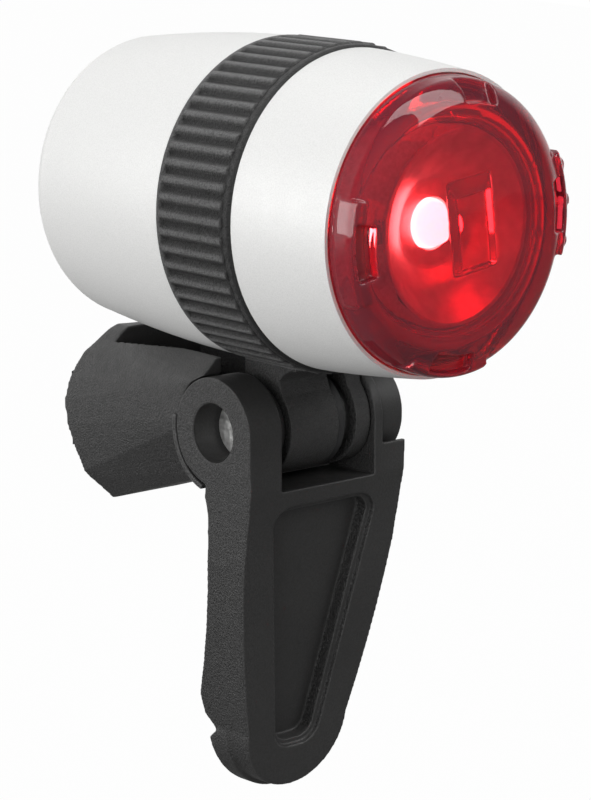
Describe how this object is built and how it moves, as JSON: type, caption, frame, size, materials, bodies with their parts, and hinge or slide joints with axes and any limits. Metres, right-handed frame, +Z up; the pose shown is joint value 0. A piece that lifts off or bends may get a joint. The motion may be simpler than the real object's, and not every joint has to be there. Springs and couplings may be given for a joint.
{
  "type": "bicycle rear light",
  "caption": "Battery rear light with a red lens on a silver barrel, a ribbed ring on a tilting neck, and a lever clamp with a curved saddle for a seat post.",
  "frame": {"origin": "on the seat post's axis, level with the hinge pin", "axes": "+Z up along the post, the lens looks towards -Y, the hinge pin runs along X"},
  "size_m": [0.046, 0.0737, 0.1088],
  "materials": {
    "silver_shell": "satin silver lacquer with a fine grain",
    "black_grip": "matte, finely textured",
    "black_bracket": "matte, spark-eroded texture",
    "red_lens": "clear red moulded plastic, polished",
    "led_emitter": "clear dome over a lit emitter",
    "steel": "plain turned",
    "black_washer": "smooth moulded",
    "rubber": "soft matte",
    "black_inner": "plain moulded",
    "cell_sleeve": "plain printed sleeve without marks",
    "plated_spring": "nickel plate",
    "circuit_board": "white solder mask",
    "mirror_coat": "vacuum metal coat",
    "chip_black": "moulded package",
    "sensor_clear": "clear package",
    "gilt_contact": "thin gilt"
  },
  "bodies": {
    "clamp_base": {"saddle": "black_bracket", "saddle_pad": "rubber", "hinge_pin": "steel"},
    "lever": {"lever": "black_bracket"},
    "head": {"mount_ring": "black_grip", "rear_cup": "silver_shell", "front_sleeve": "silver_shell", "cup_seal": "rubber", "battery_tray": "black_inner", "battery_cells": "cell_sleeve", "cell_springs": "plated_spring", "rear_bridge": "plated_spring", "front_contacts": "plated_spring", "led_board": "circuit_board", "led": "led_emitter", "reflector": "mirror_coat", "driver_chip": "chip_black", "motion_sensor": "chip_black", "light_sensor": "sensor_clear", "power_inductor": "chip_black", "board_screws": "steel", "switch_track": "gilt_contact", "friction_washer": "black_washer", "spring_washer": "steel"},
    "lens_cap": {"lens": "red_lens", "lens_seal": "rubber", "switch_wiper": "gilt_contact"}
  },
  "joints": [
    {"name": "lever_swing", "type": "hinge", "parent": "clamp_base", "child": "lever", "pos_m": [0, -0.0443, 0], "axis": [-1, 0, 0], "range_deg": [0, 70]},
    {"name": "head_tilt", "type": "hinge", "parent": "clamp_base", "child": "head", "pos_m": [0, -0.0443, 0], "axis": [1, 0, 0], "range_deg": [0, 20]},
    {"name": "lens_twist", "type": "hinge", "parent": "head", "child": "lens_cap", "pos_m": [0, -0.04479, 0.0312], "axis": [0, -0.9999, -0.0157], "range_deg": [0, 30]}
  ]
}
